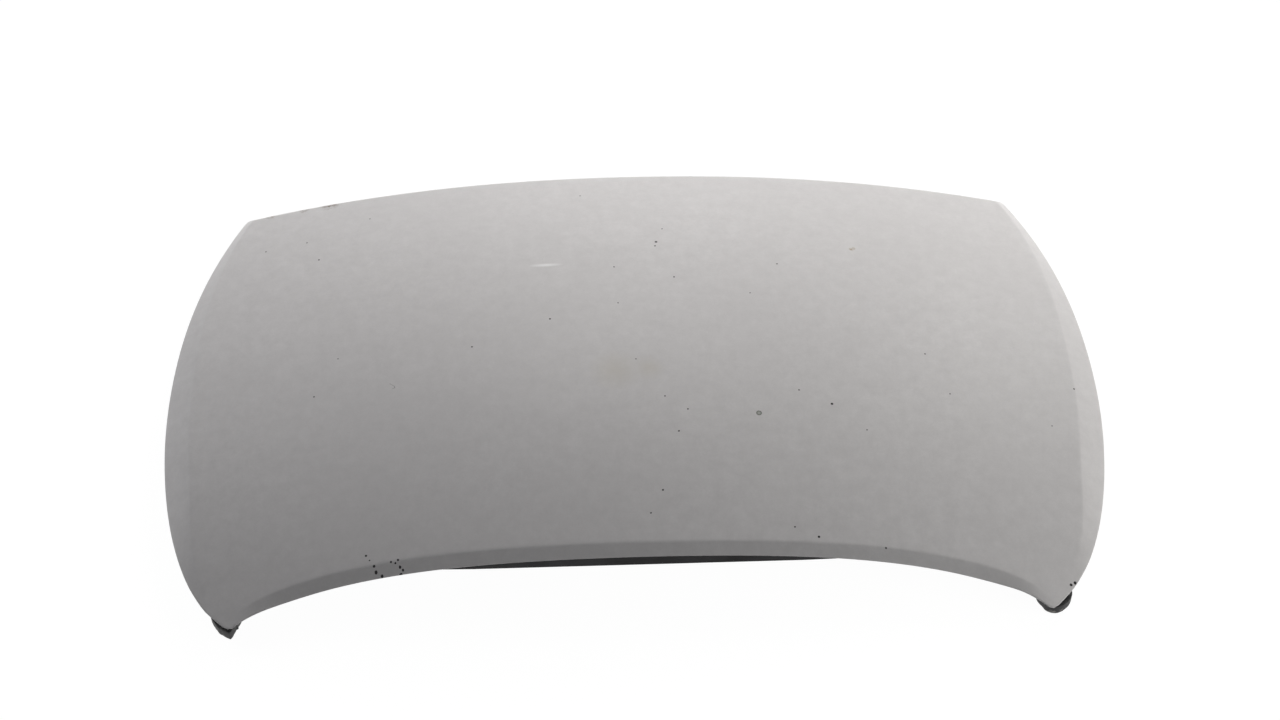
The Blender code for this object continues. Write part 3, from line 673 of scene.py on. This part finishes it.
def round_edges(node, width, steps=3):
    """A copy of a piece of the part with its edges rounded."""
    bm = bmesh.new()
    bm.from_mesh(frame["nodes"][node].data)
    bmesh.ops.remove_doubles(bm, verts=bm.verts, dist=SAME)
    bmesh.ops.dissolve_limit(bm, angle_limit=FLAT, verts=bm.verts, edges=bm.edges)
    sharp = [e for e in bm.edges if len(e.link_faces) == 2 and e.calc_face_angle() > SHARP]
    bmesh.ops.bevel(bm, geom=sharp, offset=width, segments=steps, profile=0.5, affect="EDGES", clamp_overlap=True)
    stand_in(node, finish(node + "_fine", bm, None))


def build_rounded():
    """Sealant pads, nuts, reinforcements and the striker plate, with rounded edges."""
    for node in SLOTS:
        if node.startswith("sealant") or "nut" in node:
            round_edges(node, FINE_EDGE)
        elif "reinforcement" in node or node == "striker_plate":
            round_edges(node, PLATE_EDGE)


# Stone chips in the paint: place in plan in metres, and size. The radius is the size in millimetres times the growth.
CHIPS = (
    (-0.3904, -0.3495, 0.9), (-0.3785, -0.3657, 1.0), (-0.3759, -0.3722, 1.2), (-0.3676, -0.3765, 1.1),
    (-0.3543, -0.3619, 0.8), (-0.3443, -0.3598, 0.9), (-0.3416, -0.3680, 1.0), (-0.3375, -0.3712, 0.9),
    (-0.3406, -0.3763, 1.3), (-0.3850, -0.3570, 0.6), (-0.3480, -0.3635, 0.7), (0.6222, -0.4005, 1.3),
    (0.6159, -0.4039, 1.2), (0.0439, 0.2263, 1.2), (0.0419, 0.2158, 0.8), (0.0547, 0.2613, 0.7),
    (-0.0238, 0.1650, 0.7), (0.0686, 0.1375, 0.8), (-0.0196, 0.0803, 0.6), (-0.1239, 0.0507, 0.9),
    (0.2310, 0.1689, 0.7), (0.1841, 0.0991, 0.6), (-0.0747, 0.3660, 0.6), (-0.2419, 0.0010, 0.8),
    (0.0043, -0.0385, 0.6), (0.0450, -0.1106, 0.7), (0.0779, -0.1351, 0.7), (0.0630, -0.1740, 0.8),
    (0.2444, -0.1002, 0.7), (0.2916, -0.1251, 1.1), (0.3398, -0.1703, 0.6), (0.4419, -0.0225, 0.7),
    (0.4714, -0.0985, 0.6), (0.6649, -0.0728, 0.8), (0.6204, -0.1458, 0.6), (0.0359, -0.2725, 0.8),
    (0.0174, -0.3086, 0.7), (0.2224, -0.3323, 0.7), (0.2559, -0.3473, 1.0), (0.3511, -0.3619, 0.7),
    (-0.5797, 0.2730, 0.7), (-0.5142, 0.2851, 0.7), (-0.4907, 0.2344, 0.8), (-0.4453, -0.0007, 0.6),
    (-0.4779, -0.0713, 0.7), (-0.4157, 0.3371, 0.6),
)
CHIP_GROWTH = 1.8
CHIP_EDGE = 0.0004
# A fine hooked scratch, a dried drop, a brown fleck, two stains, dirt at the nose edge, and a painted highlight: a
# pale streak of reflected light on the clear coat.
SCRATCH = ((-0.3639, -0.0603), (-0.3577, -0.0649), (-0.3561, -0.0689), (-0.3605, -0.0703))
SCRATCH_DOTS = 5
DROP = (0.1822, -0.1431)
FLECK = (0.3533, 0.2115)
STAINS = (((-0.0276, -0.0589), 0.022, 0.040), ((0.0217, -0.0568), 0.014, 0.026))
DIRT = (((-0.584, 0.3802), 0.006, 0.010), ((-0.5298, 0.3862), 0.005, 0.010), ((-0.487, 0.3965), 0.013, 0.012))
HIGHLIGHT_SPOT = (-0.130, 0.1760)
HIGHLIGHT_STRETCH = 0.17


def paint_material():
    """Pale grey body paint under clear coat: faint mottling, stone chips, stains, dirt at the nose edge, and a
    painted highlight.
    """
    shade = Shade("body_paint", coat_roughness=0.35, coat_ior=1.5, specular_ior_level=0.35)
    place = shade.place()
    plan = shade.stretched(shade.shifted(place, 700.0, 0.0012), (1, 1, 0))
    wide = shade.stretched(shade.shifted(place, 60.0, 0.012), (1, 1, 0))

    def spot(where, radius, soft, spread=plan):
        """1 within a radius of a place in plan, and 0 outside it, over a soft edge."""
        return shade.away(spread, (*where, 0)).ramp(radius + soft / 2, radius - soft / 2)

    def together(spots):
        return functools.reduce(Field.__or__, spots)

    chips = together(spot((x, y), size / 1000 * CHIP_GROWTH, CHIP_EDGE) for x, y, size in CHIPS)
    for a, b in zip(SCRATCH, SCRATCH[1:]):
        for n in range(SCRATCH_DOTS):
            along = n / SCRATCH_DOTS
            dot = (a[0] + (b[0] - a[0]) * along, a[1] + (b[1] - a[1]) * along)
            chips = chips | spot(dot, 0.0005, 0.0005) * 0.6
    drop = spot(DROP, 0.0042, 0.0010)
    drop_middle = spot(DROP, 0.0026, 0.0010)
    fleck = spot(FLECK, 0.0045, 0.0030)
    stains = together(spot(*stain, wide) for stain in STAINS)
    dirt = together(spot(*patch, wide) for patch in DIRT)
    grime = shade.noise(place, 160.0, 4.0, 0.7).ramp(0.40, 0.58)
    # Place of the painted highlight, squeezed across so that it draws out into a streak.
    highlight_place = shade.stretched(place, (HIGHLIGHT_STRETCH, 1, 0))
    painted_highlight = spot((HIGHLIGHT_SPOT[0] * HIGHLIGHT_STRETCH, HIGHLIGHT_SPOT[1]), 0.0026, 0.0048, highlight_place)

    clouds = shade.noise(place, 3.5, 4.0, 0.55).ramp(0.35, 0.65)
    streaks = shade.noise(shade.stretched(place, (9.0, 55.0, 9.0)), 1.0, 3.0, 0.6).ramp(0.3, 0.7)
    mottle = shade.noise(place, 50.0, 5.0, 0.75).ramp(0.3, 0.7)
    grain = shade.noise(place, 420.0, 2.0, 0.6)
    base = shade.mix(clouds, (0.582, 0.570, 0.576), (0.616, 0.604, 0.610))
    base = shade.mix(streaks * 0.30, base, (0.556, 0.546, 0.549))
    base = shade.mix(mottle * 0.9, base, (0.526, 0.514, 0.520))
    base = shade.mix(grain.ramp(0.35, 0.7) * 0.16, base, (0.45, 0.442, 0.444))
    base = shade.mix(stains * 0.38, base, (0.49, 0.455, 0.39))
    # Painted highlight: a pale streak of reflected light laid into the paint's colour.
    base = shade.mix(painted_highlight * 0.75, base, (0.86, 0.86, 0.87))
    base = shade.mix(dirt * grime * 0.85, base, (0.17, 0.135, 0.108))
    base = shade.mix(fleck * grime, base, (0.30, 0.235, 0.15))
    base = shade.mix(drop, base, (0.13, 0.135, 0.12))
    base = shade.mix(drop_middle * 0.8, base, (0.36, 0.37, 0.34))
    base = shade.mix(chips, base, (0.016, 0.015, 0.017))

    rough = 0.36 + clouds * 0.06 + chips * 0.4 + dirt * grime * 0.3
    ripple = shade.noise(place, 260.0, 2.0, 0.5) * 0.04 + shade.noise(place, 7.0, 2.0, 0.5) * 8.0
    height = ripple - chips * 0.6 - drop * 0.15
    coat = 0.25 - chips * 0.25 - dirt * grime * 0.2
    return shade.set(base_color=base, roughness=rough, coat_weight=coat, normal=shade.bump(height, 0.0001))


def shaded_underside_material():
    """Dull dark grey paint of the underside, dusty, with a fine lighter grain. Its darkness is painted shade: it is
    drawn darker than its own paint, for the shadow under the bonnet.
    """
    shade = Shade("inner_paint", specular_ior_level=0.12)
    place = shade.place()
    dust = shade.noise(place, 14.0, 5.0, 0.65).ramp(0.42, 0.70)
    grain = shade.noise(place, 320.0, 3.0, 0.6)
    # Painted shade: these colours are darker than the underside's own paint and stand for the shadow beneath the
    # bonnet.
    base = shade.mix(dust * 0.6, (0.018, 0.018, 0.020), (0.036, 0.035, 0.034))
    base = shade.mix(grain.ramp(0.5, 0.8) * 0.3, base, (0.075, 0.073, 0.071))
    return shade.set(base_color=base, roughness=0.6 + dust * 0.2, normal=shade.bump(grain, 0.00012))


def metal_material(name, bright, dull, rough):
    """Plated or plain steel with a spangle, dulled in patches."""
    shade = Shade(name)
    place = shade.place()
    cells = shade.cells(place, 260.0)
    patches = shade.noise(place, 70.0, 4.0, 0.6).ramp(0.40, 0.66)
    base = shade.mix(patches, bright, dull)
    tarnish = rough + patches * 0.18 + cells * 0.10
    return shade.set(base_color=base, roughness=tarnish, metallic=1.0 - patches * 0.25,
                     normal=shade.bump(cells, 0.00005))


def rubber_material(name, dark, worn, rough, glints=()):
    """Moulded rubber or plastic with a fine skin and scuffed, dusty patches, and pale painted highlights at stated
    places.
    """
    shade = Shade(name, specular_ior_level=0.4)
    place = shade.place()
    grain = shade.noise(place, 900.0, 3.0, 0.6)
    scuff = shade.noise(place, 110.0, 5.0, 0.7).ramp(0.52, 0.74)
    base = shade.mix(scuff * 0.7, dark, worn)
    for where, reach in glints:
        glint = shade.away(shade.shifted(place, 240.0, 0.006), where).ramp(reach, reach * 0.35)
        # Painted highlight: a pale glint of reflected light laid into the pad's colour.
        base = shade.mix(glint * (0.6 + scuff * 0.4), base, GLINT_TONE)
    return shade.set(base_color=base, roughness=rough + scuff * 0.1, normal=shade.bump(grain, 0.00015))


def sealant_material():
    """Pale expanded sealant with open pores."""
    shade = Shade("sealant", specular_ior_level=0.2)
    place = shade.place()
    pores = shade.cells(place, 900.0)
    tone = shade.noise(place, 180.0, 3.0, 0.6).ramp(0.35, 0.65)
    base = shade.mix(tone, (0.60, 0.54, 0.43), (0.47, 0.42, 0.32))
    return shade.set(base_color=base, roughness=0.82 + tone * 0.1, normal=shade.bump(pores, 0.0006))


# Painted highlights on the rear pads, pale glints of reflected light: their tone, and each one's middle and radius.
GLINT_TONE = (0.50, 0.49, 0.47)
PAD_GLINTS = (((0.5885, -0.4295, 0.006), 0.0065), ((0.6010, -0.4255, 0.008), 0.0050), ((-0.5925, -0.4290, 0.006), 0.0050))

# The finish of each of the part's material slots, and the slot of each of its pieces.
SURFACES = {
    "body_paint": paint_material(),
    # The underside's finish carries painted shade.
    "inner_paint": shaded_underside_material(),
    "plain_steel": metal_material("plain_steel", (0.40, 0.40, 0.41), (0.24, 0.22, 0.20), 0.34),
    "zinc_plate": metal_material("zinc_plate", (0.62, 0.61, 0.57), (0.46, 0.44, 0.36), 0.26),
    "black_rubber": rubber_material("black_rubber", (0.010, 0.010, 0.011), (0.24, 0.235, 0.225), 0.55, PAD_GLINTS),
    "black_plastic": rubber_material("black_plastic", (0.022, 0.022, 0.024), (0.070, 0.068, 0.066), 0.38),
    "sealant": sealant_material(),
}
SLOTS = {entry["node"]: entry["material_slot"] for entry in frame["record"]["subparts"]}


def dress_part_nodes():
    """Each of the part's own pieces gets the finish of its slot."""
    for node, slot in SLOTS.items():
        slots = frame["nodes"][node].data.materials
        slots.clear()
        slots.append(SURFACES[slot])


# Name, degrees above the floor, degrees from the nose towards +X, metres away (0 for a far one),
# radius in metres (degrees across for a far one), level of a white surface that faces it, and colour.
LAMPS = (
    ("window", 16, 30, 0, 26.0, 0.356, (1.0, 0.98, 0.94)),
    ("nose", 50, 0, 1.3, 0.35, 0.198, (1.0, 0.985, 0.965)),
    ("nose_right", 30, 60, 1.3, 0.35, 0.230, (1.0, 0.987, 0.95)),
    ("nose_low", 16, 0, 2.2, 0.6, 0.213, (1.0, 0.98, 0.955)),
    ("left", 16, 285, 2.2, 0.6, 0.168, (1.0, 0.995, 0.99)),
    ("left_high", 50, 300, 2.2, 0.6, 0.090, (1.0, 0.99, 0.98)),
    ("right", 16, 120, 2.2, 0.6, 0.277, (1.0, 0.99, 0.95)),
)
AMBIENT = 0.084
AMBIENT_TINT = (0.965, 0.995, 1.05, 1)
# The floor: its size, and the share of white, and its strength, that the camera and the gloss see on it.
FLOOR_HALF = 14.0
WHITE_SHARE = 0.91
WHITE = 1.07


def build_floor():
    """Pale floor, with a share of plain white over it where the camera or the gloss sees it."""
    bm = bmesh.new()
    bmesh.ops.create_grid(bm, x_segments=1, y_segments=1, size=FLOOR_HALF)
    shade = Shade("floor", roughness=0.9, base_color=(0.88, 0.88, 0.88, 1.0), specular_ior_level=0.1)
    lit = Field(shade, shade.surface.outputs[0])
    white = shade.node("ShaderNodeEmission", None, {"Strength": WHITE})
    lifted = shade.lay_over(shade.sight() * WHITE_SHARE, lit, white)
    shade.feed(shade.tree.nodes["Material Output"].inputs[0], lifted)
    floor = finish("floor", bm, shade.material)


def build_sky():
    """A white sky that only the camera and the gloss see, over a faint even light."""
    world = bpy.data.worlds.new("studio")
    bpy.context.scene.world = world
    world.use_nodes = True
    sky = Nodes(world.node_tree)
    faint = sky.tree.nodes["Background"]
    sky.feed(faint.inputs["Color"], AMBIENT_TINT)
    sky.feed(faint.inputs["Strength"], AMBIENT)
    white = sky.node("ShaderNodeBackground", None, {"Color": (1, 1, 1, 1)})
    seen = sky.lay_over(sky.sight(), Field(sky, faint.outputs[0]), white)
    sky.feed(sky.tree.nodes["World Output"].inputs[0], seen)


def build_lamps():
    """The window's far light and six soft discs of light. The gloss doesn't show them."""
    for name, height, turn, distance, reach, level, tint in LAMPS:
        height, turn = math.radians(height), math.radians(turn)
        aim = Vector((math.cos(height) * math.sin(turn), math.cos(height) * math.cos(turn), math.sin(height)))
        lamp = bpy.data.lights.new(name, "AREA" if distance else "SUN")
        lamp.color = tint
        made = bpy.data.objects.new(name, lamp)
        if distance:
            lamp.shape = "DISK"
            lamp.size = 2 * reach
            lamp.energy = level * (math.pi * distance) ** 2
            made.location = aim * distance
        else:
            lamp.energy = level * math.pi
            lamp.angle = math.radians(reach)
        made.rotation_euler = aim.to_track_quat("Z", "Y").to_euler()
        made.visible_glossy = False
        bpy.context.scene.collection.objects.link(made)


# The camera: how far it looks down, its roll and turn in radians, its lens and its place.
PITCH = math.radians(50)
ROLL = -0.0056
TURN = -0.0274
LENS = 66.485
SENSOR = 36.0
STAND = (-0.052, -2.3125, 2.836903)


def build_camera():
    """Camera looking down on the bonnet from the windscreen side."""
    back = Vector((math.sin(TURN) * math.cos(PITCH), -math.cos(TURN) * math.cos(PITCH), math.sin(PITCH)))
    level = Vector((math.cos(TURN), math.sin(TURN), 0))
    up = back.cross(level)
    right = math.cos(ROLL) * level + math.sin(ROLL) * up
    over = -math.sin(ROLL) * level + math.cos(ROLL) * up
    camera = bpy.data.objects.new("camera", bpy.data.cameras.new("camera"))
    camera.data.lens = LENS
    camera.data.sensor_width = SENSOR
    facing = Matrix((right, over, back)).transposed()
    camera.matrix_world = Matrix.Translation(STAND) @ facing.to_4x4()
    bpy.context.scene.collection.objects.link(camera)
    bpy.context.scene.camera = camera


dress_part_nodes()
build_skin(SURFACES["body_paint"])
build_fittings()
build_rounded()
build_floor()
build_sky()
build_lamps()
build_camera()
bpy.context.scene.view_settings.view_transform = "Standard"
